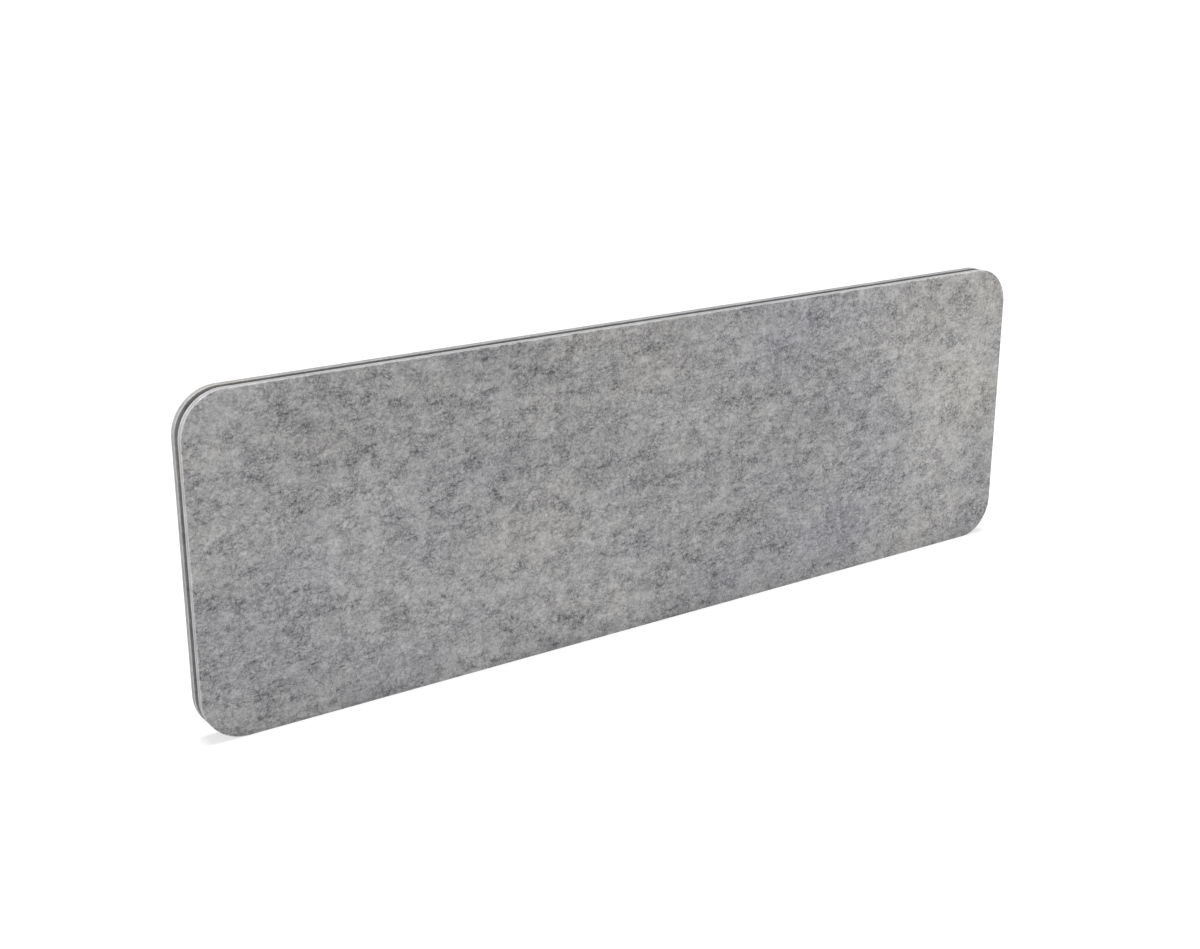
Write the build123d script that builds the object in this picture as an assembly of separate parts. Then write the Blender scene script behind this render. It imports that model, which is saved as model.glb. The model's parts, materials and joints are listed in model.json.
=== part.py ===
from build123d import *

import os

# Acoustic divider screen for a desk: two sheets of pressed felt on a slim metal frame.
# The frame is smaller than the sheets, so a recessed groove runs between them all the way round.
# X runs along the screen, Y through its thickness with the front towards -Y, and Z points up.
# The origin is in the middle of the bottom edge. Everything is in millimetres.

# The screen as a whole
panel_length = 1180.0
panel_height = 380.0
corner_radius = 50.0

# Felt sheets
felt_thickness = 9.0
groove_width = 9.0
face_edge_radius = 1.0
groove_edge_radius = 0.8

# Metal frame: flat bar with lapped joints, and quarter-round plates at the corners
groove_depth = 5.0
bar_width = 20.0
corner_lap_length = 25.0
lap_clearance = 0.2

# Double-sided tape between the frame and the sheets
tape_thickness = 0.5
tape_width = 12.0
tape_end_gap = 10.0

# Upright posts that divide the frame into three bays, and the pad of wadding in each bay
post_housing_edge = 6.0
pad_clearance = 0.5

# Solid rivets, countersunk on both faces of the frame
rivet_radius = 1.6
rivet_head_radius = 2.8
rivet_head_height = 1.2
rivet_clearance = 0.05
corner_rivet_pitch = 12.0

# Tapped holes for the desk brackets, from below
bracket_offset = 400.0
bracket_hole_pitch = 32.0
bracket_hole_radius = 2.0
bracket_hole_floor = 5.0

# Cutting tools run past the face that they open
overrun = 1.0

# Worked out from the sizes above
bar_thickness = groove_width - 2 * tape_thickness
lap_thickness = bar_thickness / 2
sheet_face = groove_width / 2
frame_corner_radius = corner_radius - groove_depth
straight_length = panel_length - 2 * corner_radius
straight_height = panel_height - 2 * corner_radius
rail_drop = panel_height / 2 - groove_depth - bar_width / 2
stile_reach = panel_length / 2 - groove_depth - bar_width / 2
frame_middle = panel_height / 2
post_lap = bar_width - post_housing_edge
post_height = 2 * rail_drop - bar_width
# Three equal bays: between the stiles' middles lie the bays, two posts and two half stiles
bay_width = (2 * stile_reach - 3 * bar_width) / 3
post_offset = (bay_width + bar_width) / 2
upright = Rot(0, 90, 0)
half_turn = Rot(0, 0, 180)


def block(x_range, y_range, z_range):
    """A box between two limits on each axis."""
    limits = (x_range, y_range, z_range)
    size = [high - low for low, high in limits]
    middle = [(high + low) / 2 for low, high in limits]
    return Pos(*middle) * Box(*size)


def felt_sheet():
    """The front sheet; its visible face has the larger rounding round its edge."""
    outline = Plane.XZ * RectangleRounded(panel_length, panel_height, corner_radius)
    sheet = Pos(0, -sheet_face, frame_middle) * extrude(outline, amount=felt_thickness)
    visible_face = sheet.faces().sort_by(Axis.Y)[0]
    sheet = fillet(visible_face.edges(), face_edge_radius)
    groove_face = sheet.faces().sort_by(Axis.Y)[-1]
    return fillet(groove_face.edges(), groove_edge_radius)


def rivet(clearance=0.0):
    """A rivet along Y with a flush cone at each end; the clearance makes it the tool for its hole."""
    shank = Cylinder(rivet_radius + clearance, bar_thickness)
    rise = (bar_thickness - rivet_head_height) / 2
    cone = Cone(rivet_radius + clearance, rivet_head_radius + clearance, rivet_head_height)
    return Rot(90, 0, 0) * (shank + Pos(0, 0, rise) * cone + Pos(0, 0, -rise) * Rot(180, 0, 0) * cone)


def lap_rivets(clearance=0.0):
    """The two rivets of one corner lap, with the lap's middle at the origin and its length along X."""
    return [Pos(side * corner_rivet_pitch / 2, 0, 0) * rivet(clearance) for side in (-1, 1)]


def lapped_bar(length):
    """A bar along X whose two ends keep only their front half, where the corner plates lap behind."""
    bar = Box(length, bar_thickness, bar_width)
    for side in (-1, 1):
        end = side * length / 2
        shoulder = end - side * (corner_lap_length + lap_clearance)
        past_end = end + side * overrun
        bar -= block(
            sorted((shoulder, past_end)),
            (0, lap_thickness + overrun),
            (-bar_width / 2 - overrun, bar_width / 2 + overrun),
        )
        for hole in lap_rivets(rivet_clearance):
            bar -= Pos(end - side * corner_lap_length / 2, 0, 0) * hole
    return bar


def corner_plate():
    """The plate for the right-hand top corner, with the centre of its arc at the origin."""
    inner_radius = frame_corner_radius - bar_width
    middle_radius = frame_corner_radius - bar_width / 2
    ring = Plane.XZ * (Circle(frame_corner_radius) - Circle(inner_radius))
    quarter = block((0, frame_corner_radius), (-lap_thickness, lap_thickness), (0, frame_corner_radius))
    plate = extrude(ring, amount=lap_thickness, both=True) & quarter
    arm = Pos(-corner_lap_length / 2, lap_thickness / 2, middle_radius)
    arm *= Box(corner_lap_length, lap_thickness, bar_width)
    for hole in lap_rivets(rivet_clearance):
        arm -= Pos(-corner_lap_length / 2, 0, middle_radius) * hole
    down = mirror(arm, Plane(origin=(0, 0, 0), z_dir=(1, 0, -1)))
    return plate + arm + down


def post():
    """An upright bar whose two ends keep only their rear half, let into housings in the rails."""
    reach = post_height / 2 + post_lap
    bar = Box(bar_width, bar_thickness, 2 * reach)
    for side in (-1, 1):
        shoulder = side * (post_height / 2 - lap_clearance)
        past_end = side * (reach + overrun)
        bar -= block(
            (-bar_width / 2 - overrun, bar_width / 2 + overrun),
            (-lap_thickness - overrun, 0),
            sorted((shoulder, past_end)),
        )
        bar -= Pos(0, 0, side * (post_height + post_lap) / 2) * rivet(rivet_clearance)
    return bar


def rail(inward):
    """A long bar of the frame, with a housing for each post in the edge that faces the frame's middle."""
    bar = lapped_bar(straight_length)
    inner_edge = inward * bar_width / 2
    housing_end = inner_edge - inward * (post_lap + lap_clearance)
    half_housing = bar_width / 2 + lap_clearance
    for side in (-1, 1):
        centre = side * post_offset
        bar -= block(
            (centre - half_housing, centre + half_housing),
            (0, lap_thickness + overrun),
            sorted((housing_end, inner_edge + inward * overrun)),
        )
        bar -= Pos(centre, 0, inner_edge - inward * post_lap / 2) * rivet(rivet_clearance)
    return bar


def bracket_holes():
    """The tools for the four tapped holes, with the bottom rail's middle at the origin."""
    depth = bar_width - bracket_hole_floor
    rise = (depth - bar_width - overrun) / 2
    tool = Cylinder(bracket_hole_radius, depth + overrun)
    return [
        Pos(station * bracket_offset + side * bracket_hole_pitch / 2, 0, rise) * tool
        for station in (-1, 1)
        for side in (-1, 1)
    ]


def tape_strip(length, face_side):
    """A strip of tape along X on the front (-1) or rear (+1) face of the frame."""
    middle = face_side * (bar_thickness + tape_thickness) / 2
    return Pos(0, middle, 0) * Box(length, tape_thickness, tape_width)


def pad(beside_stile=False):
    """A pad that fills one bay; beside a stile its corners are round, to clear the corner plates."""
    filling = Box(bay_width - 2 * pad_clearance, groove_width, post_height - 2 * pad_clearance)
    if not beside_stile:
        return filling
    end_edges = filling.edges().filter_by(Axis.Y).group_by(Axis.X)[-1]
    return fillet(end_edges, frame_corner_radius - bar_width - pad_clearance)


def frame_parts():
    """The bars, posts and corner plates of the frame, in place."""
    bottom = rail(1)
    for hole in bracket_holes():
        bottom -= hole
    stile = upright * lapped_bar(straight_height)
    parts = {
        "top_rail": Pos(0, 0, frame_middle + rail_drop) * rail(-1),
        "bottom_rail": Pos(0, 0, frame_middle - rail_drop) * bottom,
    }
    for name, side in (("left", -1), ("right", 1)):
        parts[f"{name}_stile"] = Pos(side * stile_reach, 0, frame_middle) * stile
        parts[f"{name}_post"] = Pos(side * post_offset, 0, frame_middle) * post()
    turns = {"top_right": 0, "bottom_right": 90, "bottom_left": 180, "top_left": 270}
    for name, turn in turns.items():
        across = straight_length / 2 * (1 if "right" in name else -1)
        up = straight_height / 2 * (1 if "top" in name else -1)
        parts[f"{name}_corner_plate"] = Pos(across, 0, frame_middle + up) * Rot(0, turn, 0) * corner_plate()
    return parts


def rivet_parts():
    """All the rivets, in one group for the corners and one for the posts."""
    corner, posts = [], []
    for side in (-1, 1):
        for level in (-1, 1):
            lap_x = side * (straight_length - corner_lap_length) / 2
            corner += [Pos(lap_x, 0, frame_middle + level * rail_drop) * one for one in lap_rivets()]
            lap_z = frame_middle + level * (straight_height - corner_lap_length) / 2
            corner += [Pos(side * stile_reach, 0, lap_z) * upright * one for one in lap_rivets()]
            post_z = frame_middle + level * (post_height + post_lap) / 2
            posts.append(Pos(side * post_offset, 0, post_z) * rivet())
    return {"corner_rivets": Compound(children=corner), "post_rivets": Compound(children=posts)}


def tape_parts():
    """One strip of tape on each face of every bar and post."""
    long_strip = straight_length - 2 * tape_end_gap
    side_strip = straight_height - 2 * tape_end_gap
    post_strip = post_height - 2 * tape_end_gap
    parts = {}
    for face, face_side in (("front", -1), ("rear", 1)):
        for name, level in (("top", 1), ("bottom", -1)):
            height = frame_middle + level * rail_drop
            parts[f"{face}_tape_{name}"] = Pos(0, 0, height) * tape_strip(long_strip, face_side)
        for name, side in (("left", -1), ("right", 1)):
            stile_tape = upright * tape_strip(side_strip, face_side)
            post_tape = upright * tape_strip(post_strip, face_side)
            parts[f"{face}_tape_{name}"] = Pos(side * stile_reach, 0, frame_middle) * stile_tape
            parts[f"{face}_tape_{name}_post"] = Pos(side * post_offset, 0, frame_middle) * post_tape
    return parts


front_sheet = felt_sheet()
end_pad = Pos(bay_width + bar_width, 0, frame_middle) * pad(beside_stile=True)
parts = {
    "front_felt_sheet": front_sheet,
    "rear_felt_sheet": half_turn * front_sheet,
    "left_wadding_pad": half_turn * end_pad,
    "middle_wadding_pad": Pos(0, 0, frame_middle) * pad(),
    "right_wadding_pad": end_pad,
    **frame_parts(),
    **rivet_parts(),
    **tape_parts(),
}

os.makedirs("parts", exist_ok=True)
for name, shape in parts.items():
    export_step(shape, f"parts/{name}.step")
    box = shape.bounding_box()
    print(f"{name}: {box.size.X:.1f} x {box.size.Y:.1f} x {box.size.Z:.1f} mm")
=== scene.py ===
# %% [markdown]
# # An acoustic divider screen for a desk
# The real object is a low, wide screen: two sheets of grey, mottled pressed felt with round corners.
# They are bonded to a slim metal frame that is a little smaller than they are, so a dark groove runs
# between them all the way round. The measured model holds the frame and the sizes, and this lesson
# makes what the eye sees: the felt with its soft edges, the finishes, the light and the view.

# %% Load the measured model
import json
import math

import bmesh
import bpy
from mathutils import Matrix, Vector


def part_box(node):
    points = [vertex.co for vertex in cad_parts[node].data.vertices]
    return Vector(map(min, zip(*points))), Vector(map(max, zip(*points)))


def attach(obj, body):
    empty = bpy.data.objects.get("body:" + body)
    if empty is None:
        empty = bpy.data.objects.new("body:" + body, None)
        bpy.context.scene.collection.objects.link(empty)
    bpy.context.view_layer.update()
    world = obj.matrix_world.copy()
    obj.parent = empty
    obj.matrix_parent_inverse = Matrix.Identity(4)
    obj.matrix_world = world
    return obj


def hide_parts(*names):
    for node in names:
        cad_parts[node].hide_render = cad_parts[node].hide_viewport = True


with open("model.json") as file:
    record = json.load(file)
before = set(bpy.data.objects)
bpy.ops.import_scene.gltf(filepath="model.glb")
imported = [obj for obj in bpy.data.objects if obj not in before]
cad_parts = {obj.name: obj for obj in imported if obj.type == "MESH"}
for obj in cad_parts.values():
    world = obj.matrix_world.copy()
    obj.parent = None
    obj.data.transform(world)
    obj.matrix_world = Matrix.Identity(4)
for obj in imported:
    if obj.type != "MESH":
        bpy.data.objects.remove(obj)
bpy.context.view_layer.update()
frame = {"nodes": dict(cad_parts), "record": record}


def rounded(values):
    return [round(value, 4) for value in values]


print(len(frame["nodes"]), "measured pieces")

# %% [markdown]
# ## Sizes
# The places of the sheets come from the measured model. What it doesn't say in a box, such as the
# corner radius, is written here once, in metres.

# %% Sizes of a felt sheet
millimetre = 0.001
sheet_low, sheet_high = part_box("front_felt_sheet")
sheet_length = sheet_high.x - sheet_low.x
sheet_height = sheet_high.z - sheet_low.z
sheet_thickness = sheet_high.y - sheet_low.y
face_centre = (0, sheet_low.y, (sheet_low.z + sheet_high.z) / 2)
corner_radius = 50 * millimetre
face_rounding = 1.0 * millimetre
groove_rounding = 0.8 * millimetre
print(f"sheet {sheet_length:.3f} x {sheet_height:.3f} x {sheet_thickness:.4f} m")

# %% [markdown]
# ## Picking in edit mode
# An operator acts on all that is selected, so before each one everything is deselected, and the
# faces or edges that it needs are picked by their place or size. These helpers do that, and say how
# many they found, which is the first thing to look at when a step goes wrong.

# %% Helpers for modelling
# Points closer than this count as being in one place
same_place = millimetre / 100


def choose(piece):
    """Makes this piece the active one, with nothing else selected."""
    bpy.ops.object.select_all(action="DESELECT")
    piece.select_set(True)
    bpy.context.view_layer.objects.active = piece


def start_editing(piece):
    choose(piece)
    bpy.ops.object.mode_set(mode="EDIT")


def stop_editing():
    bpy.ops.object.mode_set(mode="OBJECT")


def pick(piece, kind, test):
    """Selects the vertices, edges or faces (VERT, EDGE or FACE) that pass the test."""
    bpy.ops.mesh.select_mode(type=kind)
    bpy.ops.mesh.select_all(action="DESELECT")
    mesh = bmesh.from_edit_mesh(piece.data)
    parts = {"VERT": mesh.verts, "EDGE": mesh.edges, "FACE": mesh.faces}[kind]
    found = [part for part in parts if test(part)]
    for part in found:
        part.select_set(True)
    bmesh.update_edit_mesh(piece.data)
    print(f"{piece.name}: picked {len(found)} of kind {kind}")


def in_plane(part, y):
    """Whether all the corners of an edge or face lie at this depth."""
    return all(abs(corner.co.y - y) < same_place for corner in part.verts)


# %% [markdown]
# ## The outline of a sheet
# A felt sheet is cut from a large board by a knife or a router, so its outline is two long straight
# lines, two short ones and four quarter circles. It could be a curve with round corners, but a plane
# whose corners are bevelled gives just that, and is a mesh from the start.

# %% Cut the outline
arc_steps = 24
bpy.ops.object.select_all(action="DESELECT")
bpy.ops.mesh.primitive_plane_add(size=1, rotation=(math.radians(90), 0, 0), location=face_centre)
front_sheet = bpy.context.object
front_sheet.name = "front_felt"
bpy.ops.object.transform_apply(location=True, rotation=True, scale=True)
start_editing(front_sheet)
bpy.ops.mesh.select_all(action="SELECT")
bpy.ops.transform.resize(value=(sheet_length, 1, sheet_height), center_override=face_centre)
bpy.ops.mesh.bevel(offset=corner_radius, segments=arc_steps, affect="VERTICES")
bpy.ops.mesh.delete(type="ONLY_FACE")
print("outline of", len(bmesh.from_edit_mesh(front_sheet.data).verts), "points")

# %% [markdown]
# ## Steps along the straight stretches
# A face of one huge polygon couldn't take the slight unevenness of pressed felt, so it will be filled
# with squares, and its edge needs a step for each of them. Subdivide makes at most 100 cuts at a time,
# so the long stretches are divided twice: into long steps, and then each of these into squares.

# %% Divide the straight stretches
square = 4 * millimetre
squares_in_step = 3
long_steps = round((sheet_length - 2 * corner_radius) / square / squares_in_step)
short_squares = round((sheet_height - 2 * corner_radius) / square)
pick(front_sheet, "EDGE", lambda edge: edge.calc_length() > sheet_length / 2)
bpy.ops.mesh.subdivide(number_cuts=long_steps - 1)
pick(front_sheet, "EDGE", lambda edge: edge.calc_length() > sheet_height / 2)
bpy.ops.mesh.subdivide(number_cuts=short_squares - 1)
pick(front_sheet, "EDGE", lambda edge: edge.calc_length() > 2 * square)
bpy.ops.mesh.subdivide(number_cuts=squares_in_step - 1)
bpy.ops.mesh.select_all(action="SELECT")
bpy.ops.mesh.edge_face_add()

# %% [markdown]
# ## Thickness and soft edges
# The face is extruded to the thickness of the board. A knife leaves a crisp edge on felt, but
# handling rounds it, and more on the side that shows. A Bevel modifier gives all edges one width,
# unless they have weights, so these are bevelled one after the other, each by its own amount.

# %% Extrude and round the edges
bpy.ops.mesh.select_mode(type="FACE")
bpy.ops.mesh.extrude_region_move(TRANSFORM_OT_translate={"value": (0, sheet_thickness, 0)})
bpy.ops.mesh.select_all(action="SELECT")
bpy.ops.mesh.normals_make_consistent(inside=False)
pick(front_sheet, "EDGE", lambda edge: in_plane(edge, sheet_low.y))
bpy.ops.mesh.bevel(offset=face_rounding, segments=4, affect="EDGES")
pick(front_sheet, "EDGE", lambda edge: in_plane(edge, sheet_high.y))
bpy.ops.mesh.bevel(offset=groove_rounding, segments=3, affect="EDGES")

# %% [markdown]
# ## Squares over the face
# The visible face gets a narrow border by an inset, which keeps the rounding even, and its middle is
# taken out and filled with a grid. The grid starts from the middle of a corner's arc, so its rows
# run along the sheet and its columns up it. The face in the groove only gets the border, because it
# lies against the frame and stays flat.

# %% Take out the middle of the face
border = 3 * millimetre
pick(front_sheet, "FACE", lambda face: in_plane(face, sheet_low.y))
bpy.ops.mesh.inset(thickness=border)
bpy.ops.mesh.delete(type="ONLY_FACE")

# %% Fill it with a grid
pick(front_sheet, "EDGE", lambda edge: edge.is_boundary)
bpy.ops.mesh.select_mode(type="VERT")
mesh = bmesh.from_edit_mesh(front_sheet.data)
arc_x = sheet_high.x - corner_radius
arc_z = sheet_high.z - corner_radius
arc_points = [v for v in mesh.verts if v.select and v.co.x > arc_x and v.co.z > arc_z]
grid_corner = min(arc_points, key=lambda v: abs((v.co.x - arc_x) - (v.co.z - arc_z)))
mesh.select_history.clear()
mesh.select_history.add(grid_corner)
bmesh.update_edit_mesh(front_sheet.data)
bpy.ops.mesh.fill_grid(span=long_steps * squares_in_step + arc_steps)
pick(front_sheet, "FACE", lambda face: in_plane(face, sheet_high.y))
bpy.ops.mesh.inset(thickness=border)
stop_editing()
print("front sheet:", len(front_sheet.data.polygons), "faces")

# %% [markdown]
# ## The rear sheet
# Both sheets are cut alike, so the rear one is a copy and isn't modelled again. It has a mesh of its
# own, because its relief will differ, and it is turned half round, which puts its good side at the back.

# %% Copy the sheet for the rear
rear_sheet = front_sheet.copy()
rear_sheet.data = front_sheet.data.copy()
rear_sheet.name = "rear_felt"
bpy.context.scene.collection.objects.link(rear_sheet)
choose(rear_sheet)
rear_sheet.rotation_euler.z = math.radians(180)
bpy.ops.object.transform_apply(location=False, rotation=True, scale=False)
print("rear sheet from y =", round(min(v.co.y for v in rear_sheet.data.vertices), 4))

# %% [markdown]
# ## The unevenness of pressed felt
# Pressed felt looks flat, but its face rises and falls by a tenth or two of a millimetre, where the
# batt held more or less fibre. Bump in the material would only shade that, and the outline of the
# face would stay ruled, so a Displace modifier with a cloud pattern gives it as real shape. It moves
# the face alone, along the normal, so the cut edges stay true.

# %% Press the relief into both faces
relief_depth = 0.25 * millimetre
relief = bpy.data.textures.new("felt_relief", "CLOUDS")
relief.noise_scale = 14 * millimetre
relief.noise_depth = 3


def press_relief(sheet, face_y):
    """Moves the face at this depth in and out by the relief, and smooths the shading of the sheet."""
    choose(sheet)
    face = sheet.vertex_groups.new(name="face")
    inside = [v.index for v in sheet.data.vertices if abs(v.co.y - face_y) < same_place]
    face.add(inside, 1.0, "REPLACE")
    uneven = sheet.modifiers.new("relief", "DISPLACE")
    uneven.texture = relief
    uneven.texture_coords = "LOCAL"
    uneven.direction = "NORMAL"
    uneven.mid_level = 0.5
    uneven.strength = relief_depth
    uneven.vertex_group = face.name
    bpy.ops.object.modifier_apply(modifier=uneven.name)
    sheet.vertex_groups.clear()
    bpy.ops.object.shade_smooth_by_angle(angle=math.radians(40))
    depths = [v.co.y for v in sheet.data.vertices]
    print(sheet.name, "depth from", round(min(depths), 5), "to", round(max(depths), 5))


press_relief(front_sheet, sheet_low.y)
press_relief(rear_sheet, -sheet_low.y)

# %% [markdown]
# ## Wadding pads
# Inside, three pads of white polyester wadding fill the bays between the bars. They are slabs cut from
# a roll and held between the sheets. Nothing swells or hangs there, so they need no cloth simulation:
# a thin box is divided into squares, its edges are rounded, and a Displace modifier lets the surface
# sink unevenly. Its level is set so that it only sinks and never grows into a sheet.

# %% Make the pads
pad_square = 12 * millimetre
pad_rounding = 2.5 * millimetre
pad_sink = 0.6 * millimetre
pad_tufts = bpy.data.textures.new("wadding_tufts", "CLOUDS")
pad_tufts.noise_scale = 18 * millimetre
pad_tufts.noise_depth = 2


def make_pad(name, node):
    """A pad in the place of a measured one, with rounded edges and a surface that sinks in tufts."""
    low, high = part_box(node)
    size = high - low
    bpy.ops.object.select_all(action="DESELECT")
    bpy.ops.mesh.primitive_cube_add(size=1, location=(low + high) / 2, scale=size)
    pad = bpy.context.object
    pad.name = name
    bpy.ops.object.transform_apply(location=True, rotation=True, scale=True)

    def runs_along(edge, axis):
        start, end = (corner.co[axis] for corner in edge.verts)
        return abs(end - start) > size[axis] / 2

    start_editing(pad)
    for axis in (0, 2):
        pick(pad, "EDGE", lambda edge: runs_along(edge, axis))
        bpy.ops.mesh.subdivide(number_cuts=round(size[axis] / pad_square))
    bpy.ops.mesh.select_all(action="DESELECT")
    bpy.ops.mesh.select_mode(type="EDGE")
    bpy.ops.mesh.edges_select_sharp(sharpness=math.radians(45))
    bpy.ops.mesh.bevel(offset=pad_rounding, segments=3, affect="EDGES")
    stop_editing()
    sunken = pad.modifiers.new("tufts", "DISPLACE")
    sunken.texture = pad_tufts
    sunken.texture_coords = "LOCAL"
    sunken.mid_level = 1.0
    sunken.strength = pad_sink
    bpy.ops.object.modifier_apply(modifier=sunken.name)
    bpy.ops.object.shade_smooth()
    print(name, len(pad.data.polygons), "faces")
    return pad


pads = {}
for side in ("left", "middle", "right"):
    node = f"{side}_wadding_pad"
    pads[node] = make_pad(f"{side}_wadding", node)

# %% [markdown]
# ## Colours and nodes
# Colours are written as sRGB hex values, as a paint chart gives them, and one function turns them
# into the linear values that the renderer works in. Another adds a node, sets it and links it. A
# colour ramp is set by its stops, each a place from 0 to 1 and a colour.

# %% Helpers for materials
def colour(code):
    """An sRGB hex colour as linear red, green, blue and alpha."""
    values = [int(code[i:i + 2], 16) / 255 for i in (1, 3, 5)]
    return [v / 12.92 if v <= 0.04045 else ((v + 0.055) / 1.055) ** 2.4 for v in values] + [1.0]


def add_node(tree, kind, inputs=None, stops=(), **settings):
    """Adds a node with its settings, sets or links its inputs, and gives a ramp its stops."""
    node = tree.nodes.new(kind)
    for name, value in settings.items():
        setattr(node, name, value)
    for name, value in (inputs or {}).items():
        if isinstance(value, bpy.types.NodeSocket):
            tree.links.new(value, node.inputs[name])
        else:
            node.inputs[name].default_value = value
    for number, (position, code) in enumerate(stops):
        ramp = node.color_ramp.elements
        stop = ramp[number] if number < len(ramp) else ramp.new(position)
        stop.position = position
        stop.color = colour(code)
    return node


def new_material(name):
    """An empty material, its node tree, and the socket that gives each point's place on the object."""
    material = bpy.data.materials.new(name)
    material.use_nodes = True
    tree = material.node_tree
    tree.nodes.clear()
    return material, tree, add_node(tree, "ShaderNodeTexCoord").outputs["Object"]


def in_millimetres(*sizes):
    return [size * millimetre for size in sizes]


# %% [markdown]
# ## Pressed polyester felt
# The board is made of white, grey and black polyester fibres, carded together, needled and pressed
# hot. Carding never mixes them quite evenly. From across a room the sheet shows faint drifts as wide
# as a hand, nearer to it soft clumps of a centimetre, and close up short dark and pale strands that
# curl in all directions. One noise can't draw that, so the tone of the felt is a sum of patterns, each
# with a real size in millimetres. Pressing flattens the clumps, so all are thin through the sheet,
# which draws layers on a cut edge.

# %% A pattern, and coordinates that curl
felt, tree, place = new_material("pressed_polyester_felt")


def mottle(start, size_mm, detail, roughness=0.5, shift=(0, 0, 0), turn=0):
    """Noise in the felt, with patches of this size along the sheet, through it and up it."""
    laid = add_node(tree, "ShaderNodeMapping", {
        "Vector": start, "Location": shift, "Rotation": (0, math.radians(turn), 0),
        "Scale": in_millimetres(*size_mm),
    }, vector_type="TEXTURE")
    return add_node(tree, "ShaderNodeTexNoise", {
        "Vector": laid.outputs[0], "Scale": 1.0, "Detail": detail, "Roughness": roughness,
    }).outputs


def swirl(start, size_mm, reach_mm):
    """Pushes coordinates about by up to half the reach, in swirls of this size."""
    push = mottle(place, (size_mm, size_mm / 3, size_mm), detail=1.5)["Color"]
    centred = add_node(tree, "ShaderNodeVectorMath", {0: push, 1: (0.5, 0.5, 0.5)}, operation="SUBTRACT")
    return add_node(tree, "ShaderNodeVectorMath", {
        0: centred.outputs[0], 1: in_millimetres(reach_mm, 0, reach_mm), 2: start,
    }, operation="MULTIPLY_ADD").outputs[0]


curled = swirl(place, size_mm=9, reach_mm=6)
frizzy = swirl(curled, size_mm=2.5, reach_mm=0.6)
print(felt.name, "starts with", len(tree.nodes), "nodes")

# %% [markdown]
# ## Drifts, clouds, clumps and tufts
# The widest pattern, the drift, is moved and turned until its pale and dark parts lie about where the
# face looks pale and dark, which puts its palest part towards the right end, where the lamps also make
# the face palest. Clumps and tufts follow the curls. Each pattern is laid on the tone so far, times its
# strength, and the start is set so that the sum has the middle tone.

# %% Lay on drifts, clouds, clumps and tufts
felt_patterns = {
    "drift": mottle(place, (191, 60, 182), detail=1.0, shift=(-2.172, 0.008, 0.819), turn=2.7)["Fac"],
    "cloud": mottle(place, (54, 15, 45), detail=3.0, roughness=0.55)["Fac"],
    "clump": mottle(curled, (13, 3, 10), detail=4.0, roughness=0.62)["Fac"],
    "tuft": mottle(curled, (4.2, 1.2, 3.2), detail=3.0, roughness=0.6)["Fac"],
}
strengths = {"drift": 0.35, "cloud": 0.20, "clump": 0.63, "tuft": 0.51}
middle_tone = 0.619
tone = middle_tone - sum(strengths.values()) / 2
for name, strength in strengths.items():
    tone = add_node(tree, "ShaderNodeMath", {
        0: felt_patterns[name], 1: strength, 2: tone,
    }, operation="MULTIPLY_ADD").outputs[0]
print("felt patterns:", ", ".join(felt_patterns))

# %% [markdown]
# ## Strands
# A strand is drawn where a noise that is stretched in one direction runs low. Several of them, each
# turned to its own angle and bent by the swirls, cross as fibres do. Black fibres bunch in places, so
# their strength comes from a coarser noise, and the pale ones are spread evenly. A real fibre is 0.02
# to 0.04 mm thick, far too fine to show, so the finest strands here are drawn ten times as thick.

# %% Kinds of strands
bunch = mottle(place, (38, 12, 26), detail=2.0, shift=(0.3, 0, 0.1))["Fac"]
dark_strength = add_node(tree, "ShaderNodeMapRange", {
    "Value": bunch, "From Min": 0.36, "From Max": 0.62, "To Min": -0.055, "To Max": -0.115,
}).outputs[0]
strand_kinds = (
    # angles in degrees, length and width in mm, strength
    ((5, 165), 22, 2.6, dark_strength),
    ((36, 72, 108, 144), 14, 1.9, dark_strength),
    ((20, 110), 10, 0.9, dark_strength),
    ((15, 75, 135), 8, 0.8, 0.085),
    ((8, 98), 6, 0.3, 0.07),
    ((52, 145), 6, 0.3, -0.07),
)
print(len(strand_kinds), "kinds of strands")

# %% Lay on the strands
strand_depth = 2
next_pattern = (0.11, 0.07, 0.05)
strands = [(angle, *kind[1:]) for kind in strand_kinds for angle in kind[0]]
for number, (angle, length, width, strength) in enumerate(strands):
    apart = [number * step for step in next_pattern]
    size = (length, strand_depth, width)
    stretched = mottle(frizzy, size, detail=1.0, shift=apart, turn=angle)["Fac"]
    strand = add_node(tree, "ShaderNodeMapRange", {
        "Value": stretched, "From Min": 0.34, "From Max": 0.50, "To Min": 1.0, "To Max": 0.0,
    }, interpolation_type="SMOOTHSTEP")
    tone = add_node(tree, "ShaderNodeMath", {
        0: strand.outputs[0], 1: strength, 2: tone,
    }, operation="MULTIPLY_ADD").outputs[0]
print(len(strands), "directions of strands")

# %% [markdown]
# ## The cut edge
# The hot plates press a dense, pale skin on both sides of the board, and the knife lays open the looser
# core between them. There the fibres are cut across, so hardly any strands show. The edge could have a
# material of its own, but then the felt would change at a hard line, so the same tone is calmed by
# depth: from the skin inwards it is mixed with an even one. In the photograph the rear sheet's edge is
# a little darker than the front one's, so it gets a lower tone.

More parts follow.
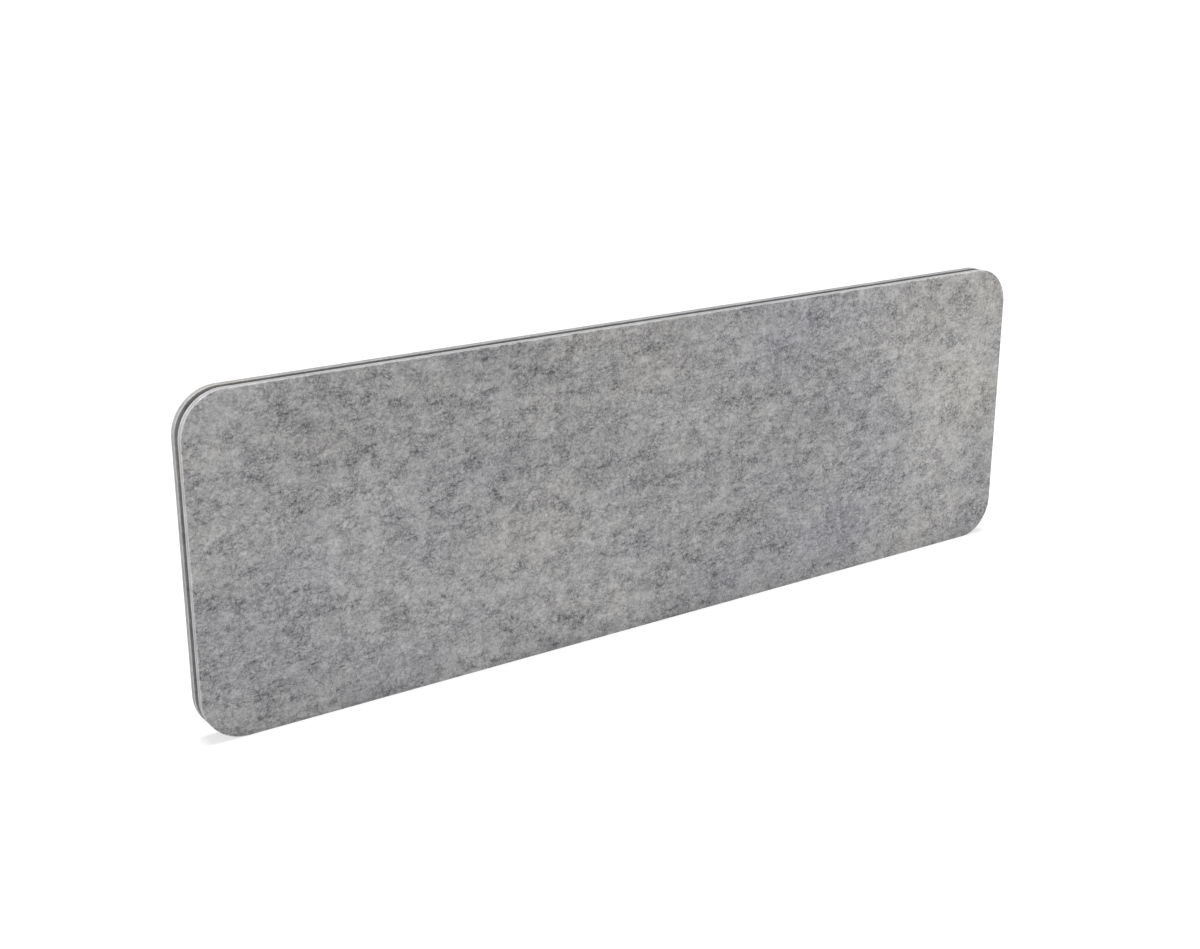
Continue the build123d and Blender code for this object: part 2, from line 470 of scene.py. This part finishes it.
# %% Calm the cut edges
cut_calm = 0.55
cut_tone_front = 0.63
cut_tone_rear = 0.49
skin_top = 0.4 * millimetre
skin_bottom = 1.4 * millimetre
face_depth = abs(sheet_low.y)
along_y = add_node(tree, "ShaderNodeSeparateXYZ", {"Vector": place}).outputs["Y"]
depth = add_node(tree, "ShaderNodeMath", {0: along_y}, operation="ABSOLUTE").outputs[0]
cut_tone = add_node(tree, "ShaderNodeMapRange", {
    "Value": along_y, "From Min": -millimetre, "From Max": millimetre,
    "To Min": cut_tone_front, "To Max": cut_tone_rear,
}).outputs[0]
calm = add_node(tree, "ShaderNodeMapRange", {
    "Value": depth, "From Min": face_depth - skin_top, "From Max": face_depth - skin_bottom,
    "To Min": 0.0, "To Max": cut_calm,
}).outputs[0]
tone = add_node(tree, "ShaderNodeMix", {
    "Factor": calm, "A": tone, "B": cut_tone,
}, data_type="FLOAT").outputs[0]
print("cut edges calmed by", cut_calm)

# %% [markdown]
# ## Painted shade along the core of the board
# Each cut edge gets a darker stripe along its middle, in the core of the board. It is painted shade: it
# stands in for the shade between the highlights that the rounded rims of the edge catch. It too is found
# by depth, from the middle of the board's thickness outwards, and fades smoothly.

# %% Paint shade along the core
core_shade_strength = -0.17
core_full = 1.4 * millimetre
core_gone = 3.2 * millimetre
off_middle = add_node(tree, "ShaderNodeMath", {
    0: depth, 1: face_depth - sheet_thickness / 2,
}, operation="SUBTRACT").outputs[0]
from_middle = add_node(tree, "ShaderNodeMath", {0: off_middle}, operation="ABSOLUTE").outputs[0]
core_shade = add_node(tree, "ShaderNodeMapRange", {
    "Value": from_middle, "From Min": core_full, "From Max": core_gone, "To Min": 1.0, "To Max": 0.0,
}, interpolation_type="SMOOTHSTEP").outputs[0]
# The darker stripe laid on here is painted shade between the highlights of the rounded rims
tone = add_node(tree, "ShaderNodeMath", {
    0: core_shade, 1: core_shade_strength, 2: tone,
}, operation="MULTIPLY_ADD").outputs[0]
print("core darkened by", -core_shade_strength)

# %% [markdown]
# ## The greys of the felt
# A colour ramp turns the tone into grey. The black fibres lean to blue and the white ones to beige.
# The fibre is recycled and comes in lots, so a wide noise also tints the whole, a little towards blue
# in some places and towards beige in others. The drifts join in: where more white fibre was carded, the
# felt is both paler and warmer.

# %% Colour of the felt
# The two tints multiply the grey in red, green and blue
towards_blue = (0.981, 0.984, 1.036, 1)
towards_beige = (1.024, 0.999, 0.967, 1)
felt_grey = add_node(tree, "ShaderNodeValToRGB", {"Fac": tone}, stops=(
    (0.1, "#58595B"), (0.5, "#9B9B9B"), (0.9, "#CACAC8"),
))
lot = mottle(place, (260, 25, 152), detail=3.0, shift=(-0.77, 0, -1.214), turn=-3.3)["Fac"]
lot_and_drift = add_node(tree, "ShaderNodeMix", {
    "Factor": 0.35, "A": lot, "B": felt_patterns["drift"],
}, data_type="FLOAT").outputs[0]
warmth = add_node(tree, "ShaderNodeMapRange", {
    "Value": lot_and_drift, "From Min": 0.35, "From Max": 0.65,
}).outputs[0]
tint = add_node(tree, "ShaderNodeMix", {
    "Factor": warmth, "A": towards_blue, "B": towards_beige,
}, data_type="RGBA").outputs["Result"]
felt_colour = add_node(tree, "ShaderNodeMix", {
    "Factor": 1.0, "A": felt_grey.outputs["Color"], "B": tint,
}, data_type="RGBA", blend_type="MULTIPLY").outputs["Result"]
print("felt in", len(felt_grey.color_ramp.elements), "greys, tinted by its lot")

# %% [markdown]
# ## The surface of the felt
# Felt scatters light from a tangle of fibres, so it is matt, hardly glossy, and a little brighter where
# it is seen at a low angle, which is the sheen. Clumps and tufts stand out by about a tenth of a
# millimetre, and a Bump node tilts the surface by them without more mesh.

# %% Surface of the felt
felt_height = add_node(tree, "ShaderNodeMix", {
    "Factor": 0.35, "A": felt_patterns["clump"], "B": felt_patterns["tuft"],
}, data_type="FLOAT")
felt_bump = add_node(tree, "ShaderNodeBump", {
    "Height": felt_height.outputs[0], "Strength": 0.5, "Distance": 0.3 * millimetre,
})
felt_surface = add_node(tree, "ShaderNodeBsdfPrincipled", {
    "Base Color": felt_colour, "Roughness": 0.95, "IOR": 1.5, "Specular IOR Level": 0.2,
    "Sheen Weight": 0.08, "Sheen Roughness": 0.5, "Normal": felt_bump.outputs["Normal"],
})
add_node(tree, "ShaderNodeOutputMaterial", {"Surface": felt_surface.outputs["BSDF"]})
for sheet in (front_sheet, rear_sheet):
    sheet.data.materials.clear()
    sheet.data.materials.append(felt)
print(felt.name, "has", len(tree.nodes), "nodes")

# %% [markdown]
# ## Anodised aluminium
# The frame is extruded flat bar. It is etched before it is anodised dark grey, which takes off the
# lines of the die and leaves an even satin grain of a few tenths of a millimetre. So its grain is a
# plain fine noise in gloss and bump, and not the stretched one that a brushed bar would need. The
# oxide is thicker in some places than in others, which a wider noise shows as faint clouds of colour.

# %% Anodised aluminium of the frame
anodised, tree, place = new_material("anodised_aluminium")
etch = add_node(tree, "ShaderNodeTexNoise", {
    "Vector": place, "Scale": 1 / (0.4 * millimetre), "Detail": 3.0,
})
oxide = add_node(tree, "ShaderNodeTexNoise", {
    "Vector": place, "Scale": 1 / (25 * millimetre), "Detail": 3.0,
})
oxide_colour = add_node(tree, "ShaderNodeValToRGB", {"Fac": oxide.outputs["Fac"]}, stops=(
    (0.3, "#27282A"), (0.7, "#38393C"),
))
satin = add_node(tree, "ShaderNodeMapRange", {
    "Value": etch.outputs["Fac"], "To Min": 0.38, "To Max": 0.55,
})
etch_bump = add_node(tree, "ShaderNodeBump", {
    "Height": etch.outputs["Fac"], "Strength": 0.4, "Distance": 0.02 * millimetre,
})
anodised_surface = add_node(tree, "ShaderNodeBsdfPrincipled", {
    "Base Color": oxide_colour.outputs["Color"], "Metallic": 1.0, "Roughness": satin.outputs[0],
    "Normal": etch_bump.outputs["Normal"],
})
add_node(tree, "ShaderNodeOutputMaterial", {"Surface": anodised_surface.outputs["BSDF"]})
print(anodised.name, "has", len(tree.nodes), "nodes")

# %% [markdown]
# ## Rivets
# The solid rivets are plain mill aluminium, pale and brighter than the frame. The riveting tool leaves
# fine dents and scuffs on their heads. Each dent is a shallow cup, which is the shape of a Voronoi
# cell, and the scuffs are a noise that makes the gloss uneven.

# %% Mill aluminium of the rivets
mill, tree, place = new_material("mill_aluminium")
dents = add_node(tree, "ShaderNodeTexVoronoi", {"Vector": place, "Scale": 1 / (0.7 * millimetre)})
scuffs = add_node(tree, "ShaderNodeTexNoise", {
    "Vector": place, "Scale": 1 / (0.5 * millimetre), "Detail": 4.0,
})
mill_colour = add_node(tree, "ShaderNodeValToRGB", {"Fac": scuffs.outputs["Fac"]}, stops=(
    (0.3, "#A7A9AC"), (0.7, "#C9CBCD"),
))
dull = add_node(tree, "ShaderNodeMapRange", {
    "Value": scuffs.outputs["Fac"], "To Min": 0.25, "To Max": 0.5,
})
dent_bump = add_node(tree, "ShaderNodeBump", {
    "Height": dents.outputs["Distance"], "Strength": 0.3, "Distance": 0.05 * millimetre,
})
mill_surface = add_node(tree, "ShaderNodeBsdfPrincipled", {
    "Base Color": mill_colour.outputs["Color"], "Metallic": 1.0, "Roughness": dull.outputs[0],
    "Normal": dent_bump.outputs["Normal"],
})
add_node(tree, "ShaderNodeOutputMaterial", {"Surface": mill_surface.outputs["BSDF"]})
print(mill.name, "has", len(tree.nodes), "nodes")

# %% [markdown]
# ## Bonding tape
# Double-sided acrylic foam tape holds the felt to the bars. It is nearly black and rubbery, and its cut
# edge and its face show closed cells of a quarter of a millimetre. Voronoi cells of that size are just
# that, in colour and in bump: each cell is a shallow cup, and its middle is darker with painted shade.

# %% Acrylic foam tape
tape, tree, place = new_material("acrylic_foam_tape")
cells = add_node(tree, "ShaderNodeTexVoronoi", {"Vector": place, "Scale": 1 / (0.25 * millimetre)})
# The cells are darker towards their middles, the bottoms of the cups: painted shade
tape_colour_and_shade = add_node(tree, "ShaderNodeValToRGB", {"Fac": cells.outputs["Distance"]}, stops=(
    (0.0, "#131314"), (0.8, "#2A2A2B"),
))
cell_bump = add_node(tree, "ShaderNodeBump", {
    "Height": cells.outputs["Distance"], "Strength": 0.5, "Distance": 0.04 * millimetre,
})
tape_surface = add_node(tree, "ShaderNodeBsdfPrincipled", {
    "Base Color": tape_colour_and_shade.outputs["Color"], "Roughness": 0.55, "IOR": 1.49,
    "Normal": cell_bump.outputs["Normal"],
})
add_node(tree, "ShaderNodeOutputMaterial", {"Surface": tape_surface.outputs["BSDF"]})
print(tape.name, "has", len(tree.nodes), "nodes")

# %% [markdown]
# ## Polyester wadding
# The wadding is loose white polyester fibre. Light goes far into it, so it looks soft and even, with
# hollows a few millimetres wide between its tufts and fine fibres that lie every way. A twisted noise
# draws both: its coarse part is the hollows, and its fine part the fibres. The same noise sets bump and
# colour, and the grey of the hollows is painted shade.

# %% Polyester wadding
wadding, tree, place = new_material("polyester_wadding")
tuft = add_node(tree, "ShaderNodeTexNoise", {
    "Vector": place, "Scale": 1 / (5 * millimetre), "Detail": 5.0, "Roughness": 0.65, "Distortion": 1.5,
})
# Where the noise runs low, in the hollows, the grey is painted shade
wadding_colour_and_shade = add_node(tree, "ShaderNodeValToRGB", {"Fac": tuft.outputs["Fac"]}, stops=(
    (0.3, "#BEBDB9"), (0.65, "#E8E7E3"),
))
tuft_bump = add_node(tree, "ShaderNodeBump", {
    "Height": tuft.outputs["Fac"], "Strength": 0.6, "Distance": 0.8 * millimetre,
})
wadding_surface = add_node(tree, "ShaderNodeBsdfPrincipled", {
    "Base Color": wadding_colour_and_shade.outputs["Color"], "Roughness": 1.0, "IOR": 1.5,
    "Specular IOR Level": 0.2, "Sheen Weight": 0.3, "Normal": tuft_bump.outputs["Normal"],
})
add_node(tree, "ShaderNodeOutputMaterial", {"Surface": wadding_surface.outputs["BSDF"]})
for pad in pads.values():
    pad.data.materials.append(wadding)
print(wadding.name, "has", len(tree.nodes), "nodes")

# %% [markdown]
# ## Who wears what
# The measured model says for each piece which finish it takes. The metal pieces and the tape have
# their right shape there, so they only get their material.

# %% Give the measured pieces their finish
finishes = {
    "felt": felt, "wadding": wadding, "frame_aluminium": anodised, "rivet_aluminium": mill,
    "bonding_tape": tape,
}
slots = {part["node"]: part["material_slot"] for part in frame["record"]["subparts"]}
for name, node in frame["nodes"].items():
    node.data.materials.clear()
    node.data.materials.append(finishes[slots[name]])
print({slot: list(slots.values()).count(slot) for slot in finishes})

# %% [markdown]
# ## Seat the pieces
# Nothing moves on this screen, so each new piece rides on its one body. The felt sheets and the pads
# stand for the plain solids of the measured model, which are then hidden.

# %% Seat the pieces
for sheet, node in ((front_sheet, "front_felt_sheet"), (rear_sheet, "rear_felt_sheet")):
    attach(sheet, "root")
    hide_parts(node)
for node, pad in pads.items():
    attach(pad, "root")
    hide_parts(node)
print("seated two sheets and", len(pads), "pads")

# %% [markdown]
# ## A white studio
# The screen stands on a wide matt floor that throws light back on it as pale paper does. Such a floor
# would render grey, and more light to whiten it would bleach the felt. So what a ray meets depends on
# what it is for: one that carries light meets pale paper, and one that brings back a picture, to the
# camera or in a gloss, meets a faint glow, which reads as white and still keeps a little of the shadow.

# %% Sort the rays
def brings_a_picture(tree):
    """A socket that is 1 for a ray to the camera, in a gloss or through glass, and 0 for the others."""
    rays = add_node(tree, "ShaderNodeLightPath").outputs
    reflected = add_node(tree, "ShaderNodeMath", {
        0: rays["Is Glossy Ray"], 1: rays["Is Transmission Ray"],
    }, operation="MAXIMUM")
    return add_node(tree, "ShaderNodeMath", {
        0: rays["Is Camera Ray"], 1: reflected.outputs[0],
    }, operation="MAXIMUM").outputs[0]


# %% Floor
bpy.ops.object.select_all(action="DESELECT")
bpy.ops.mesh.primitive_plane_add(size=60, location=(0, 0, 0))
floor = bpy.context.object
floor.name = "floor"
paper, tree, place = new_material("white_paper")
paper_grain = add_node(tree, "ShaderNodeTexNoise", {"Vector": place, "Scale": 1 / (2 * millimetre)})
paper_colour = add_node(tree, "ShaderNodeValToRGB", {"Fac": paper_grain.outputs["Fac"]}, stops=(
    (0.0, "#C7C7C7"), (1.0, "#D1D1D1"),
))
thrown_back = add_node(tree, "ShaderNodeBsdfDiffuse", {"Color": paper_colour.outputs["Color"]})
shaded = add_node(tree, "ShaderNodeBsdfDiffuse", {"Color": colour("#8C8C8C")})
glow = add_node(tree, "ShaderNodeEmission", {"Color": colour("#FFFFFF"), "Strength": 0.72})
lifted = add_node(tree, "ShaderNodeAddShader", {0: shaded.outputs[0], 1: glow.outputs[0]})
paper_surface = add_node(tree, "ShaderNodeMixShader", {
    0: brings_a_picture(tree), 1: thrown_back.outputs[0], 2: lifted.outputs[0],
})
add_node(tree, "ShaderNodeOutputMaterial", {"Surface": paper_surface.outputs[0]})
floor.data.materials.append(paper)
print(paper.name, "has", len(tree.nodes), "nodes")

# %% [markdown]
# ## The room
# A studio's walls and ceiling send some light back from every side. The world gives that even light,
# and it too looks white to the camera. A backdrop would do the same, but it would stand in the way of
# views from the back.

# %% World
world = bpy.data.worlds.new("studio")
bpy.context.scene.world = world
world.use_nodes = True
tree = world.node_tree
tree.nodes.clear()
room_light = add_node(tree, "ShaderNodeBackground", {"Color": colour("#FFFFFF"), "Strength": 0.26})
white = add_node(tree, "ShaderNodeBackground", {"Color": colour("#FFFFFF"), "Strength": 1.0})
backdrop = add_node(tree, "ShaderNodeMixShader", {
    0: brings_a_picture(tree), 1: room_light.outputs[0], 2: white.outputs[0],
})
add_node(tree, "ShaderNodeOutputWorld", {"Surface": backdrop.outputs[0]})
print(world.name, "has", len(tree.nodes), "nodes")

# %% [markdown]
# ## Lamps
# In the photograph the top edges of the sheets are the palest, the left edges come next and the face
# is darker, palest at its right end. So most light comes straight down, and soft lamps on the left,
# in front and on the right fill the rest. They stand low, so that little of their light gets into
# the groove. One behind lights the back, which the photograph doesn't show.

# %% Lamps
def add_lamp(name, location, aim, size, power):
    """A soft lamp of this width and height in metres, aimed at a point."""
    light = bpy.data.lights.new(name, "AREA")
    light.shape = "RECTANGLE"
    light.size, light.size_y = size
    light.energy = power
    lamp = bpy.data.objects.new(name, light)
    bpy.context.scene.collection.objects.link(lamp)
    lamp.location = location
    away = lamp.location - Vector(aim)
    lamp.rotation_euler = away.to_track_quat("Z", "Y").to_euler()
    print(name, "at", location, "with", power, "W")


ceiling = bpy.data.lights.new("ceiling", "SUN")
ceiling.energy = 4.65
ceiling.angle = math.radians(26)
bpy.context.scene.collection.objects.link(bpy.data.objects.new("ceiling", ceiling))
add_lamp("left_low", location=(-3.0, 0.5, 0.2), aim=(-0.6, 0, 0.18), size=(0.7, 0.36), power=38)
add_lamp("front_low", location=(0.0, -3.2, 0.2), aim=(0, 0, 0.18), size=(3.0, 0.36), power=7)
add_lamp("right_low", location=(1.2, -1.1, 0.2), aim=(0.5, 0, 0.18), size=(0.6, 0.36), power=3.5)
add_lamp("rear_low", location=(0.5, 3.0, 0.2), aim=(0, 0, 0.18), size=(1.8, 0.36), power=10)

# %% [markdown]
# ## Camera
# The camera's place, turn and drop were worked out from the corners of the sheet in the photograph,
# for a lens of 50 mm.

# %% Camera
turn_right = math.radians(35.06)
look_down = math.radians(17.73)
lens = bpy.data.cameras.new("camera")
lens.lens = 50
lens.sensor_width = 36
camera = bpy.data.objects.new("camera", lens)
bpy.context.scene.collection.objects.link(camera)
camera.location = (-1.1548, -1.5361, 0.8016)
camera.rotation_euler = (math.radians(90) - look_down, 0, -turn_right)
bpy.context.scene.camera = camera
bpy.context.scene.view_settings.view_transform = "Standard"
print("camera at", rounded(camera.location))
